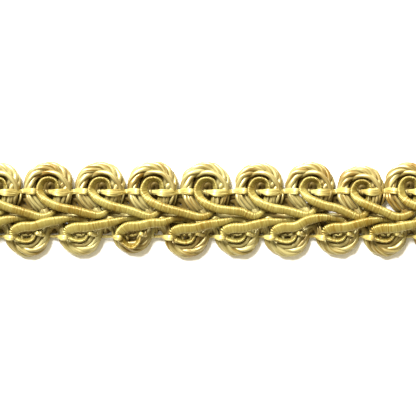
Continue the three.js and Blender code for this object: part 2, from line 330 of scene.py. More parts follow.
# Dark filler coil that closes each eye from below: painted shade, a dark thing laid where the eye is in
# shade
SHADE_COIL = {
    Face.UPPER: slack_route([
        (2.2, -3.0), (2.72, -2.2), (2.95, -1.3), (2.3, -0.3), (1.5, 0.5), (0.75, 1.15), (-0.3, 1.3),
        (-1.25, 0.7), (-1.45, -0.7), (-0.5, -1.6), (0.5, -1.5), (1.1, -0.7), (0.85, 0.25), (0.1, 0.65),
        (-0.6, 0.1), (-0.45, -0.85), (0.3, -0.9), (0.45, -0.25), (0.12, 0.15, 0.16), (-0.15, -0.25, 0.18),
        (0.05, -0.75),
    ], height=0.14),
    Face.LOWER: slack_route([
        (3.3, -1.05), (2.4, -0.7), (1.7, 0.3), (0.7, 1.1), (-0.6, 1.1), (-1.35, 0.2), (-1.45, -0.9),
        (-0.9, -1.6), (0.1, -1.7), (1.0, -1.2), (0.9, -0.3), (0.4, 0.4), (-0.4, 0.35), (-0.7, -0.5),
        (-0.1, -0.95), (0.2, -0.4), (0.0, 0.1),
    ], height=0.14),
}

# Dark filler yarn between one loop and the next: painted shade, laid where the gaps are in shade
SHADE_GROUND = {
    Face.UPPER: slack_route([
        (2.5, -1.1), (3.3, -1.5), (4.1, -1.5), (4.7, -2.2), (5.0, -3.1), (4.2, -3.4), (3.2, -2.9),
        (3.0, -2.2), (3.8, -2.2), (4.2, -2.8), (4.7, -3.7), (5.7, -3.5), (6.5, -2.95), (7.2, -2.5),
    ], height=0.2),
    Face.LOWER: slack_route([
        (1.0, -1.9), (2.2, -1.7), (3.4, -1.9), (4.4, -1.6), (5.2, -1.2), (5.9, -1.5), (5.5, -2.1),
        (4.6, -2.4), (5.2, -3.0), (4.2, -3.1), (3.2, -2.6), (2.0, -2.5), (1.7, -1.5), (2.6, -0.9),
        (3.5, -0.9), (4.3, -0.9),
    ], height=0.2),
}

# The scrolls that it follows: in the upper row, the first gap and the last two stay open
SHADE_GROUND_SPAN = {Face.UPPER: slice(1, -3), Face.LOWER: slice(0, -1)}

# The broad ply on the inner half of each loop
BROAD = {
    Face.UPPER: slack_route([
        (-1.6, 0.9, 0.3), (-1.1, 1.35, 0.7), (-0.3, 1.62, 1.1), (0.5, 1.6, 1.35), (1.3, 1.3, 1.5),
        (1.95, 0.6, 1.5), (2.4, -0.05, 1.35), (2.5, -0.9, 1.1), (2.4, -1.9, 0.8),
    ]),
    Face.LOWER: slack_route([
        (-1.7, 0.2, 0.4), (-1.2, 0.75, 0.8), (-0.3, 1.0, 0.95), (0.6, 0.9, 1.0), (1.25, 0.4, 1.05),
        (1.6, -0.3, 1.0), (1.7, -0.9, 0.8),
    ]),
}

# The short plies at the legs and in the eye of each loop
LOOSE = {
    Face.UPPER: rows(LoosePly, [
        (1.0, -1.85, 1.5, 1.9, -0.15),
        (1.45, -1.9, 1.65, 2.0, -0.1, STOUT_PLY),
        (2.0, -1.9, 1.55, 2.0, -0.35, STOUT_PLY),
        (2.5, -1.85, 1.4, 1.9, -0.5, STOUT_PLY),
        (2.95, -1.9, 1.0, 2.0, -0.4),
        (-0.35, -1.0, 1.35, 0.8, 0.3),
        (0.25, -1.05, 1.3, 0.8, -0.2),
        (-2.0, -2.1, 1.5, 2.6, 1.5, STOUT_PLY),
        (-2.5, -2.2, 1.45, 2.7, 1.5, STOUT_PLY),
        (-2.95, -2.35, 1.15, 2.7, 1.5, STOUT_PLY),
    ]),
    Face.LOWER: rows(LoosePly, [
        (-2.5, -0.9, 1.2, 1.9, -0.5),
        (-2.1, -0.9, 1.35, 1.9, -0.35),
        (0.75, -0.1, 1.55, 1.0, 0.5),
        (-0.5, -0.05, 1.5, 0.9, -0.4),
        (1.75, -0.55, 1.9, 0.9, 0.2),
        (2.6, -0.7, 0.8, 1.9, 0.5, STOUT_PLY),
        (3.3, -1.2, 0.5, 1.6, 0.2, STOUT_PLY),
    ]),
}


class StrandPath:
    """A strand's path through every repeat of its row, with the directions of its cross-section."""

    def __init__(self, knots: list[Knot], scrolls: list[Scroll], face: Face,
                 start: int = 0, end: int = 0) -> None:
        """Lays the knots of one repeat through a row of scrolls.

        Args:
            knots: The path within one repeat.
            scrolls: The row's repeats.
            face: Which row it is.
            start: How many knots are cut off at the left end.
            end: How many knots are cut off at the right end.
        """
        points = []
        for i, here in enumerate(scrolls):
            there = scrolls[i + 1] if i + 1 < len(scrolls) else Scroll(here.along + PITCH)
            points += [self.place(knot, here, there, face) for knot in knots]
        self.table = np.array(points[start:len(points) - end])

    @staticmethod
    def place(knot: Knot, here: Scroll, there: Scroll, face: Face) -> tuple[float, ...]:
        """Puts one knot of one repeat in the part's frame.

        Args:
            knot: The knot.
            here: Its repeat.
            there: The next repeat.
            face: The row.

        Returns:
            x, y, z, wide, thick and roll.
        """
        ring, follow = knot.across > RING_END, knot.follow
        size = (here.size if ring else 1.0) * (here.ring if knot.across > RING_FAR else 1.0)
        sweep = min(1.0, max(0.0, (RING_FAR - knot.across) / SWEEP_BLEND))
        rise = here.across if ring else 0.0
        rise -= here.lift * sweep * max(0.0, 1 - follow * 2) * (1 - knot.loose)
        rise += here.drop * max(0.0, knot.across - DROP_START)
        rise -= 4 * here.hump * follow * (1 - follow)
        stray = there if follow > 0.5 else here
        x = (here.along + knot.along * size) * (1 - follow) + (there.along + knot.along - PITCH) * follow
        x += stray.tail_along * knot.loose
        y = face.eye + face.side * (rise + knot.across * size + stray.tail_across * knot.loose)
        return x + MIDDLE[0], y + MIDDLE[1], knot.height, knot.wide, knot.thick, face.side * knot.roll

    def sample(self, step: float) -> dict[str, np.ndarray]:
        """Samples the path evenly.

        Args:
            step: The distance between samples in millimetres.

        Returns:
            Arrays of points, of the broad and thin half-axes of the cross-section, and of the travel.
        """
        table = self.table
        bends, girths = [], []
        for i in range(len(table) - 1):
            quad = [table[max(i - 1, 0)], table[i], table[i + 1], table[min(i + 2, len(table) - 1)]]
            if i == 0:
                quad[0] = 2 * table[0] - table[1]
            if i == len(table) - 2:
                quad[3] = 2 * table[-1] - table[-2]
            share = np.linspace(0, 1, FINE_STEPS, endpoint=False)[:, None]
            bends.append(self.centripetal([knot[:3] for knot in quad], share))
            girths.append(self.uniform([knot[3:] for knot in quad], share))
        point = np.vstack(bends + [table[-1:, :3]])
        girth = np.vstack(girths + [table[-1:, 3:]])
        travel = np.concatenate([[0], np.cumsum(np.linalg.norm(np.diff(point, axis=0), axis=1))])
        even = np.linspace(0, travel[-1], int(travel[-1] / step) + 1)
        point = np.stack([np.interp(even, travel, point[:, j]) for j in range(3)], axis=1)
        girth = np.stack([np.interp(even, travel, girth[:, j]) for j in range(3)], axis=1)
        tangent = np.gradient(point, axis=0)
        tangent /= np.linalg.norm(tangent, axis=1)[:, None]
        side = np.cross([0, 0, 1.0], tangent)
        side /= np.linalg.norm(side, axis=1)[:, None]
        up = np.cross(tangent, side)
        roll = np.radians(girth[:, 2])[:, None]
        broad = (side * np.cos(roll) + up * np.sin(roll)) * girth[:, :1] / 2
        thin = (up * np.cos(roll) - side * np.sin(roll)) * girth[:, 1:2] / 2
        return {"point": point, "broad": broad, "thin": thin, "travel": even}

    @staticmethod
    def centripetal(four: list[np.ndarray], share: np.ndarray) -> np.ndarray:
        """A centripetal Catmull-Rom stretch between the two middle points.

        Args:
            four: Four points.
            share: Parameters from 0 to 1.

        Returns:
            The points of the stretch.
        """
        before, start, end, after = four
        spans = [start - before, end - start, after - end]
        near, own, far = (max(np.linalg.norm(span) ** 0.5, LEAST_SPACING) for span in spans)
        leaving = ((start - before) / near - (end - before) / (near + own) + (end - start) / own) * own
        arriving = ((end - start) / own - (after - start) / (own + far) + (after - end) / far) * own
        return StrandPath.hermite(start, end, leaving, arriving, share)

    @staticmethod
    def uniform(four: list[np.ndarray], share: np.ndarray) -> np.ndarray:
        """The same with evenly spaced parameters, for sizes and angles."""
        before, start, end, after = four
        return StrandPath.hermite(start, end, (end - before) / 2, (after - start) / 2, share)

    @staticmethod
    def hermite(start: np.ndarray, end: np.ndarray, leaving: np.ndarray, arriving: np.ndarray,
                share: np.ndarray) -> np.ndarray:
        """A cubic from start to end with the given slopes."""
        return (start * (2 * share**3 - 3 * share**2 + 1) + leaving * (share**3 - 2 * share**2 + share)
                + end * (3 * share**2 - 2 * share**3) + arriving * (share**3 - share**2))


def inset(samples: dict[str, np.ndarray], radius: float, least: float = 0.0) -> None:
    """Draws a path's cross-section in, so that strands wound on it end where the section did.

    Args:
        samples: What StrandPath.sample gives, which is changed.
        radius: A strand's radius.
        least: How near to the middle a strand's own middle may come.
    """
    for key in ("broad", "thin"):
        half = np.linalg.norm(samples[key], axis=1)[:, None]
        samples[key] *= np.maximum(half - radius, least) / half


def guide_line(name: str, *runs: dict[str, np.ndarray]) -> bpy.types.Object:
    """Makes the lines that a node tree winds strands along.

    Args:
        name: The piece's name.
        runs: What StrandPath.sample gives, once for each separate strand.

    Returns:
        An object of chains of edges, with the cross-section, the travel and the taper as attributes.
    """
    edges, first = [], 0
    for run in runs:
        last = first + len(run["travel"])
        edges += [(i, i + 1) for i in range(first, last - 1)]
        first = last
    mesh = bpy.data.meshes.new(name)
    mesh.from_pydata((np.vstack([run["point"] for run in runs]) * MM).tolist(), edges, [])
    for key in ("broad", "thin"):
        vectors = np.vstack([run[key] for run in runs]) * MM
        mesh.attributes.new(key, "FLOAT_VECTOR", "POINT").data.foreach_set("vector", vectors.ravel())
    travel = np.concatenate([run["travel"] + RUN_SHIFT * i for i, run in enumerate(runs)])
    taper = np.concatenate([run.get("taper", np.ones(len(run["travel"]))) for run in runs])
    for key, values in (("travel", travel), ("taper", taper)):
        mesh.attributes.new(key, "FLOAT", "POINT").data.foreach_set("value", values)
    piece = bpy.data.objects.new(name, mesh)
    bpy.context.scene.collection.objects.link(piece)
    return piece


class NodeWriter:
    """Short ways to add nodes to a tree."""

    def __init__(self, tree: bpy.types.NodeTree) -> None:
        """Takes the tree."""
        self.tree = tree

    def node(self, kind: str, inputs: dict | None = None, **settings: object) -> bpy.types.Node:
        """Adds a node.

        Args:
            kind: The node's type.
            inputs: A value or an output socket for each input, by name or number.
            settings: The node's own settings.

        Returns:
            The node.
        """
        node = self.tree.nodes.new(kind)
        for key, value in settings.items():
            setattr(node, key, value)
        self.feed(node, inputs or {})
        return node

    def feed(self, node: bpy.types.Node, inputs: dict) -> None:
        """Sets or links a node's inputs.

        Args:
            node: The node.
            inputs: A value or an output socket for each input, by name or number.
        """
        for key, value in inputs.items():
            if isinstance(value, bpy.types.NodeSocket):
                self.tree.links.new(value, node.inputs[key])
            else:
                node.inputs[key].default_value = value

    def math(self, operation: str, *values: object) -> bpy.types.NodeSocket:
        """The result of one Math node."""
        return self.node("ShaderNodeMath", dict(enumerate(values)), operation=operation).outputs[0]

    def combined(self, *values: object) -> bpy.types.NodeSocket:
        """A vector of three numbers."""
        return self.node("ShaderNodeCombineXYZ", dict(enumerate(values))).outputs[0]


class TreeMaker(NodeWriter):
    """Short ways to write a geometry node tree."""

    def __init__(self, name: str, inputs: dict[str, tuple[str, float]]) -> None:
        """Starts a tree.

        Args:
            name: The tree's name.
            inputs: Each input's name, with its socket type and default.
        """
        super().__init__(bpy.data.node_groups.new(name, "GeometryNodeTree"))
        face = self.tree.interface
        face.new_socket("Geometry", in_out="INPUT", socket_type="NodeSocketGeometry")
        face.new_socket("Geometry", in_out="OUTPUT", socket_type="NodeSocketGeometry")
        for key, (kind, default) in inputs.items():
            socket = face.new_socket(key, in_out="INPUT", socket_type=kind)
            if default is not None:
                socket.default_value = default
        self.source = self.tree.nodes.new("NodeGroupInput")
        self.sink = self.tree.nodes.new("NodeGroupOutput")

    def given(self, name: str) -> bpy.types.NodeSocket:
        """The tree's own input of that name."""
        return self.source.outputs[name]

    def scaled(self, vector: object, factor: object) -> bpy.types.NodeSocket:
        """A vector times a number."""
        return self.node("ShaderNodeVectorMath", {0: vector, "Scale": factor}, operation="SCALE").outputs[0]

    def added(self, first: object, second: object) -> bpy.types.NodeSocket:
        """The sum of two vectors."""
        return self.node("ShaderNodeVectorMath", {0: first, 1: second}, operation="ADD").outputs[0]

    def read(self, name: str, kind: str = "FLOAT") -> bpy.types.NodeSocket:
        """A named attribute of the line or mesh."""
        return self.node("GeometryNodeInputNamedAttribute", {"Name": name}, data_type=kind).outputs[0]

    def kept(self, geometry: object, name: str, value: object) -> bpy.types.NodeSocket:
        """Keeps a number on every point under a name."""
        inputs = {"Geometry": geometry, "Name": name, "Value": value}
        return self.node("GeometryNodeStoreNamedAttribute", inputs, domain="POINT").outputs[0]

    def plies(self) -> bpy.types.NodeSocket:
        """Copies the guide line for each strand, and keeps the copy's number as ply.

        Returns:
            The curves.
        """
        line = self.node("GeometryNodeMeshToCurve", {0: self.given("Geometry")}).outputs[0]
        inputs = {"Geometry": line, "Amount": self.given("Strands")}
        copies = self.node("GeometryNodeDuplicateElements", inputs, domain="SPLINE")
        return self.kept(copies.outputs[0], "ply", copies.outputs[1])

    def wander(self, kind: Wander) -> bpy.types.NodeSocket:
        """Smooth noise from -1 to 1 along the line, different for each ply.

        Args:
            kind: How it differs among the plies and how quickly it changes.

        Returns:
            The noise.
        """
        row = self.math("MULTIPLY_ADD", self.read("ply"), kind.ply_step, kind.start)
        where = self.combined(self.read("travel"), row, self.given("Seed"))
        inputs = {"Vector": where, "Scale": kind.per_mm, "Detail": 1.0}
        noise = self.node("ShaderNodeTexNoise", inputs).outputs[0]
        return self.math("MULTIPLY_ADD", noise, 2.0, -1.0)

    def shifted(self, line: object, across: object, over: object) -> bpy.types.NodeSocket:
        """Moves a line's points within the guide's cross-section.

        Args:
            line: The curve.
            across: The share of the broad half-axis.
            over: The share of the thin half-axis.

        Returns:
            The curve.
        """
        broad = self.scaled(self.read("broad", "FLOAT_VECTOR"), across)
        thin = self.scaled(self.read("thin", "FLOAT_VECTOR"), over)
        inputs = {"Geometry": line, "Offset": self.added(broad, thin)}
        return self.node("GeometryNodeSetPosition", inputs).outputs[0]

    def swept(self, line: object, girth: object, ripple: object) -> bpy.types.NodeSocket:
        """Sweeps a round bundle of fibres along a line.

        Args:
            line: The curve.
            girth: The thickness at each point, as a share of the strand's own.
            ripple: How much single fibres stand proud, as a share of the radius.

        Returns:
            The mesh.
        """
        line = self.node("GeometryNodeSetCurveRadius", {0: line, "Radius": girth}).outputs[0]
        index = self.node("GeometryNodeInputIndex").outputs[0]
        corners = self.given("Corners")
        sizes = {"Resolution": corners, "Radius": self.given("Strand Radius")}
        ring = self.node("GeometryNodeCurvePrimitiveCircle", sizes).outputs[0]
        ring = self.kept(ring, "around", self.math("DIVIDE", index, corners))
        inputs = {"ID": index, "Seed": self.given("Seed")}
        chance = self.node("FunctionNodeRandomValue", inputs, data_type="FLOAT")
        chance.inputs[2].default_value, chance.inputs[3].default_value = -1.0, 1.0
        swell = self.math("MULTIPLY_ADD", chance.outputs[1], ripple, 1.0)
        place = self.node("GeometryNodeInputPosition").outputs[0]
        inputs = {"Geometry": ring, "Position": self.scaled(place, swell)}
        ring = self.node("GeometryNodeSetPosition", inputs).outputs[0]
        radius = self.node("GeometryNodeInputRadius").outputs[0]
        inputs = {"Curve": line, "Profile Curve": ring, "Fill Caps": True, "Scale": radius}
        return self.node("GeometryNodeCurveToMesh", inputs).outputs[0]

    def finish(self, mesh: object) -> bpy.types.NodeTree:
        """Presses the mesh flat on the surface below it, smooths and dresses it, and ends the tree.

        Args:
            mesh: The mesh so far.

        Returns:
            The tree.
        """
        place = self.node("GeometryNodeInputPosition").outputs[0]
        parts = self.node("ShaderNodeSeparateXYZ", {0: place}).outputs
        flat = self.combined(parts[0], parts[1], self.math("MAXIMUM", parts[2], 0.0))
        moved = self.node("GeometryNodeSetPosition", {"Geometry": mesh, "Position": flat}).outputs[0]
        inputs = {"Geometry": moved, "Shade Smooth": True}
        smooth = self.node("GeometryNodeSetShadeSmooth", inputs).outputs[0]
        whole = self.node("GeometryNodeRealizeInstances", {"Geometry": smooth}).outputs[0]
        inputs = {"Geometry": whole, "Material": self.given("Finish")}
        dressed = self.node("GeometryNodeSetMaterial", inputs).outputs[0]
        self.tree.links.new(dressed, self.sink.inputs[0])
        return self.tree


def winding_tree() -> bpy.types.NodeTree:
    """The tree that winds strands around a guide line in a helix: a cord's wrap, or the plies of a yarn.

    Returns:
        The tree.
    """
    tree = TreeMaker("wound_fibre", {
        "Strands": (INT, 1), "Lay": (FLOAT, 1.0), "Reach": (FLOAT, 1.0), "Strand Radius": (FLOAT, 0.0001),
        "Corners": (INT, 6), "Ripple": (FLOAT, 0.0), "Fibre Turn": (FLOAT, 0.0), "Unevenness": (FLOAT, 0.0),
        "Squareness": (FLOAT, 1.0), "Shade": (FLOAT, 0.0), "Seed": (INT, 1), "Finish": (MATERIAL, None)})
    line = tree.plies()
    travel = tree.read("travel")
    share = tree.math("DIVIDE", tree.read("ply"), tree.given("Strands"))
    turns = tree.math("ADD", tree.math("DIVIDE", travel, tree.given("Lay")), share)
    stray = tree.math("MULTIPLY", tree.wander(ANGLE_WANDER), tree.given("Unevenness"))
    angle = tree.math("ADD", tree.math("MULTIPLY", turns, 2 * math.pi), stray)
    swell = tree.math("MULTIPLY", tree.wander(GIRTH_WANDER), tree.given("Unevenness"))
    reach = tree.math("MULTIPLY", tree.given("Reach"), tree.math("MULTIPLY_ADD", swell, REACH_SWELL, 1.0))
    shares = []
    for part in (tree.math("COSINE", angle), tree.math("SINE", angle)):
        size = tree.math("POWER", tree.math("ABSOLUTE", part), tree.given("Squareness"))
        shares.append(tree.math("MULTIPLY", tree.math("MULTIPLY", size, tree.math("SIGN", part)), reach))
    line = tree.shifted(line, *shares)
    tilt = tree.math("MULTIPLY", travel, tree.given("Fibre Turn"))
    line = tree.node("GeometryNodeSetCurveTilt", {0: line, "Tilt": tilt}).outputs[0]
    girth = tree.math("MULTIPLY", tree.math("MULTIPLY_ADD", swell, GIRTH_SWELL, 1.0), tree.read("taper"))
    mesh = tree.swept(line, girth, tree.given("Ripple"))
    return tree.finish(tree.kept(mesh, "shade", tree.given("Shade")))


def ribbon_tree() -> bpy.types.NodeTree:
    """The tree that lays fibres side by side in a flat floss.

    Returns:
        The tree.
    """
    tree = TreeMaker("flat_floss", {
        "Strands": (INT, 8), "Strand Radius": (FLOAT, 0.0001), "Corners": (INT, 5),
        "Unevenness": (FLOAT, 0.0), "Seed": (INT, 1), "Finish": (MATERIAL, None)})
    line = tree.plies()
    last = tree.math("SUBTRACT", tree.given("Strands"), 1.0)
    across = tree.math("MULTIPLY_ADD", tree.math("DIVIDE", tree.read("ply"), last), 2.0, -1.0)
    drift = tree.math("MULTIPLY", tree.wander(DRIFT_WANDER), tree.given("Unevenness"))
    rise = tree.wander(RISE_WANDER)
    crown = tree.math("SUBTRACT", 1.0, tree.math("MULTIPLY", across, across))
    over = tree.math("MULTIPLY_ADD", rise, FILAMENT_RISE, crown)
    line = tree.shifted(line, tree.math("ADD", across, drift), over)
    girth = tree.math("MULTIPLY_ADD", rise, FILAMENT_SWELL, 1.0)
    return tree.finish(tree.swept(line, girth, 0.0))


def wound(line: bpy.types.Object, tree: bpy.types.NodeTree, **sizes: object) -> bpy.types.Object:
    """Runs a node tree on a guide line and keeps the result as a plain mesh.

    Args:
        line: The guide line.
        tree: The tree.
        sizes: The tree's inputs, by name with underscores for spaces.

    Returns:
        The same object with its mesh.
    """
    modifier = line.modifiers.new("fibre", "NODES")
    modifier.node_group = tree
    sockets = {item.name: item.identifier for item in tree.interface.items_tree if item.in_out == "INPUT"}
    for key, value in sizes.items():
        modifier[sockets[key.replace("_", " ").title()]] = value
    line.update_tag()
    depsgraph = bpy.context.evaluated_depsgraph_get()
    evaluated = line.evaluated_get(depsgraph)
    copy = bpy.data.meshes.new_from_object(evaluated, preserve_all_data_layers=True, depsgraph=depsgraph)
    line.modifiers.clear()
    line.data = copy
    copy.name = line.name
    return line


def joined(pieces: list[bpy.types.Object]) -> bpy.types.Object:
    """Joins pieces of one material into the first of them.

    Args:
        pieces: The pieces.

    Returns:
        The first, with all their faces.
    """
    with bpy.context.temp_override(active_object=pieces[0], selected_editable_objects=pieces):
        bpy.ops.object.join()
    return pieces[0]


@dataclass(frozen=True)
class FibreFinish:
    """A glossy rayon finish: its colours, how smooth it is, how its streaks run along the fibre, and the
    painted shade on the dark filler coils.
    """

    name: str
    deep: tuple[float, float, float]
    pale: tuple[float, float, float]
    roughness: float
    streaks: float  # how many streaks lie around a strand
    along: float  # how many follow each other in a millimetre of its length
    relief: float
    painted_shade_colour: tuple[float, float, float] = (0.075, 0.05, 0.012)  # painted shade: the dark brown of the filler coils inside and between the loops
    painted_shade_dull: float = 0.9  # the share of the gloss taken off the painted-shade filler coils
    gloss: float = 0.8
    metal: float = 0.3
    glint: tuple[float, float, float] = (1.0, 0.95, 0.68)
    sheen: float = 0.03
    sheen_tint: tuple[float, float, float] = (1.0, 0.93, 0.7)
    sheen_roughness: float = 0.4
    ply_step: float = 3.3  # sets the streaks of the plies apart
    patch_scale: float = 260.0
    streak_share: float = 0.6  # how much of the tone comes from streaks, and not from broad patches
    tones: tuple[float, float] = (0.37, 0.58)  # where the deep tone ends and the pale one starts
    relief_depth: float = 0.00004  # in metres

    def material(self) -> bpy.types.Material:
        """Builds the material.

        Returns:
            The material, which reads the piece's own travel, around, ply and shade attributes.
        """
        made = bpy.data.materials.new(self.name)
        made.use_nodes = True
        tree = NodeWriter(made.node_tree)
        streak = self.streak(tree)
        shade = self.attribute(tree, "shade")
        relief = {"Strength": self.relief, "Distance": self.relief_depth, "Height": streak}
        tree.feed(made.node_tree.nodes["Principled BSDF"], {
            "Base Color": self.colour(tree, streak, shade),
            "Roughness": self.roughness,
            "Metallic": self.shade_dulled(tree, shade, self.metal),
            "Specular IOR Level": self.shade_dulled(tree, shade, self.gloss),
            "Specular Tint": (*self.glint, 1.0),
            "Sheen Weight": self.sheen,
            "Sheen Roughness": self.sheen_roughness,
            "Sheen Tint": (*self.sheen_tint, 1.0),
            "Normal": tree.node("ShaderNodeBump", relief).outputs[0],
        })
        return made

    @staticmethod
    def attribute(tree: NodeWriter, name: str) -> bpy.types.NodeSocket:
        """One of the piece's own attributes as a number."""
        return tree.node("ShaderNodeAttribute", attribute_name=name).outputs["Fac"]

    def streak(self, tree: NodeWriter) -> bpy.types.NodeSocket:
        """Fine streaks that run along each strand.

        Args:
            tree: The material's tree.

        Returns:
            The streaks, from 0 to 1.
        """
        scales = {"travel": self.along, "around": self.streaks, "ply": self.ply_step}
        places = [tree.math("MULTIPLY", self.attribute(tree, name), scale) for name, scale in scales.items()]
        inputs = {"Vector": tree.combined(*places), "Scale": 1.0, "Detail": 2.0}
        return tree.node("ShaderNodeTexNoise", inputs).outputs["Fac"]

    def colour(self, tree: NodeWriter, streak: bpy.types.NodeSocket,
               shade: bpy.types.NodeSocket) -> bpy.types.NodeSocket:
        """The fibre's colour, from streaks and broad patches, and the painted shade where the shade
        attribute is 1.

        Args:
            tree: The material's tree.
            streak: The streaks.
            shade: 1 on the dark filler coils, which take the painted shade, and 0 elsewhere.

        Returns:
            The colour.
        """
        place = tree.node("ShaderNodeTexCoord").outputs["Object"]
        patch = tree.node("ShaderNodeTexNoise", {"Vector": place, "Scale": self.patch_scale}).outputs["Fac"]
        rest = tree.math("MULTIPLY", patch, 1 - self.streak_share)
        tone = tree.math("MULTIPLY_ADD", streak, self.streak_share, rest)
        ramp = tree.node("ShaderNodeValToRGB", {0: tone})
        for element, position, colour in zip(ramp.color_ramp.elements, self.tones, (self.deep, self.pale)):
            element.position = position
            element.color = (*colour, 1.0)
        mixed = {"Factor": shade, 6: ramp.outputs[0], 7: (*self.painted_shade_colour, 1.0)}  # 6 and 7 are the two colours: the fibre's own, and the painted shade
        return tree.node("ShaderNodeMix", mixed, data_type="RGBA").outputs[2]

    def shade_dulled(self, tree: NodeWriter, shade: bpy.types.NodeSocket, full: float) -> bpy.types.NodeSocket:
        """A kind of gloss that is full on the floss and slight where the painted shade is."""
        return tree.math("MULTIPLY_ADD", shade, -self.painted_shade_dull * full, full)


GIMP_SATIN = FibreFinish("gimp_satin_wrap", (0.15, 0.085, 0.002), (0.275, 0.228, 0.058),
                         roughness=0.35, streaks=3.0, along=6.0, relief=0.2)
LOOP_FLOSS = FibreFinish("loop_yarn_floss", (0.14, 0.072, 0.003), (0.335, 0.29, 0.112),
                         roughness=0.36, streaks=11.0, along=0.3, relief=0.6)
PALE_FLOSS = FibreFinish("binding_pale_floss", (0.3, 0.2, 0.035), (0.52, 0.45, 0.16),
                         roughness=0.36, streaks=6.0, along=0.5, relief=0.3)


@dataclass
class GimpCord:
    """A satin-wrapped cord: a plain inner cord with fine floss wound closely around it."""

    name: str
    face: Face
    knots: list[Knot]
    ends: tuple[int, int]
    wrap_pitch: float = 0.17
    wrap_radius: float = 0.15
    points_per_turn: int = 16
    seed: int = 3

    def build(self, tree: bpy.types.NodeTree, finish: bpy.types.Material) -> bpy.types.Object:
        """Winds the wrap around the cord's path.

        Args:
            tree: The winding tree.
            finish: The satin.

        Returns:
            The cord.
        """
        samples = StrandPath(self.knots, SCROLLS[self.face], self.face, *self.ends).sample(
            self.wrap_pitch / self.points_per_turn)
        inset(samples, self.wrap_radius)
        return wound(guide_line(self.name, samples), tree, strands=1, lay=self.wrap_pitch, reach=1.0,
                     strand_radius=self.wrap_radius * MM, corners=5, unevenness=0.05, squareness=0.8,
                     seed=self.seed, finish=finish)


@dataclass
class LoopYarn:
    """A yarn of floss plies twisted loosely together around each eye, and what comes loose from it."""

    name: str
    face: Face
    knots: list[Knot]
    ends: tuple[int, int]
    plies: int = 5
    lay: float = 9.0
    ply_share: float = 0.45  # a ply's radius, as a share of the yarn's
    girth: float = UPPER_GIRTH
    step: float = 0.24
    shade_coil_radius: float = 0.45
    broad_radius: float = 0.34
    loose_step: float = 0.15
    end_length: float = 1.5  # how long a slack ply's rounded end is, as a share of its radius
    end_least: float = 0.05  # the square of the share of its radius that is left at the tip
    seed: int = 11

    def build(self, tree: bpy.types.NodeTree, finish: bpy.types.Material) -> bpy.types.Object:
        """Twists the plies along the yarn's path, and lays the slack ones.

        Args:
            tree: The winding tree.
            finish: The floss.

        Returns:
            The yarn.
        """
        loops = [scroll.plain("drop", "ring", "lift", "hump") for scroll in SCROLLS[self.face]]
        samples = StrandPath(self.knots, loops, self.face, *self.ends).sample(self.step)
        ply = self.ply_share * self.girth / 2
        inset(samples, ply, LEAST_REACH)
        twist = wound(guide_line(self.name, samples), tree, strands=self.plies, lay=self.lay, reach=1.0,
                      strand_radius=ply * MM, corners=12, ripple=0.16, fibre_turn=0.5, unevenness=0.55,
                      squareness=1.0, seed=self.seed, finish=finish)
        parts = [
            # the coils get 1.0, which paints shade on them; the other plies get none
            ("coil", self.shade_coil_runs(), self.shade_coil_radius, 1.0),
            ("loose", self.loose_runs(FINE_PLY), FINE_PLY, 0.0),
            ("loose", self.loose_runs(STOUT_PLY), STOUT_PLY, 0.0),
            ("broad", self.broad_runs(), self.broad_radius, 0.0),
        ]
        return joined([twist, *(self.slack(*part, tree, finish) for part in parts)])

    def slack(self, part: str, runs: list[dict[str, np.ndarray]], radius: float, shade: float,
              tree: bpy.types.NodeTree, finish: bpy.types.Material) -> bpy.types.Object:
        """Lays single plies that have come loose from the twist.

        Args:
            part: The plies' name.
            runs: Each ply's samples.
            radius: A ply's radius in millimetres.
            shade: 1 for painted shade on the dark filler coils, and 0 for the bright floss.
            tree: The winding tree.
            finish: The floss.

        Returns:
            The plies.
        """
        for run in runs:
            from_end = np.minimum(run["travel"], run["travel"][-1] - run["travel"])
            run["taper"] = np.clip(from_end / (self.end_length * radius), self.end_least, 1.0) ** 0.5
        return wound(guide_line(f"{self.name}_{part}", *runs), tree, strands=1, lay=5.0, reach=0.05,
                     strand_radius=radius * MM, corners=10, ripple=0.12, fibre_turn=0.6, unevenness=0.4,
                     squareness=1.0, shade=shade, seed=self.seed + 1, finish=finish)

    def shade_coil_runs(self) -> list[dict[str, np.ndarray]]:
        """The dark filler yarn, painted with shade: a flat coil that closes each eye from below, and one
        between the loops.

        Returns:
            Each coil's samples.
        """
        scrolls = SCROLLS[self.face]
        places = [(SHADE_COIL, scroll) for scroll in scrolls[1:-1]]
        places += [(SHADE_GROUND, scroll) for scroll in scrolls[SHADE_GROUND_SPAN[self.face]]]
        return [self.run(knots[self.face], scroll.plain("drop", "ring"), self.step)
                for knots, scroll in places]

    def broad_runs(self) -> list[dict[str, np.ndarray]]:
        """The broad ply of each loop, on the yarn's inner half from the left around to the right leg."""
        scrolls = [scroll.plain("drop", "ring") for scroll in SCROLLS[self.face][1:-1]]
        return [self.run(BROAD[self.face], scroll, self.step) for scroll in scrolls]

    def loose_runs(self, radius: float) -> list[dict[str, np.ndarray]]:
        """The short plies of each repeat, most of which hang from the binding thread down under the sweep.

        Args:
            radius: Which plies, by their radius.

        Returns:
            Each ply's samples.
        """
        runs = []
        for i, scroll in enumerate(SCROLLS[self.face][1:-1]):
            level = scroll.plain("size", "across", "drop", "ring")
            for j, ply in enumerate(LOOSE[self.face]):
                if ply.radius == radius:
                    stray = STRAY * math.sin(REPEAT_PHASE * i + PLY_PHASE * j)
                    runs.append(self.run(ply.knots(stray), level, self.loose_step))
        return runs

    def run(self, knots: list[Knot], scroll: Scroll, step: float) -> dict[str, np.ndarray]:
        """One ply's samples within one repeat."""
        return StrandPath(knots, [scroll], self.face).sample(step)


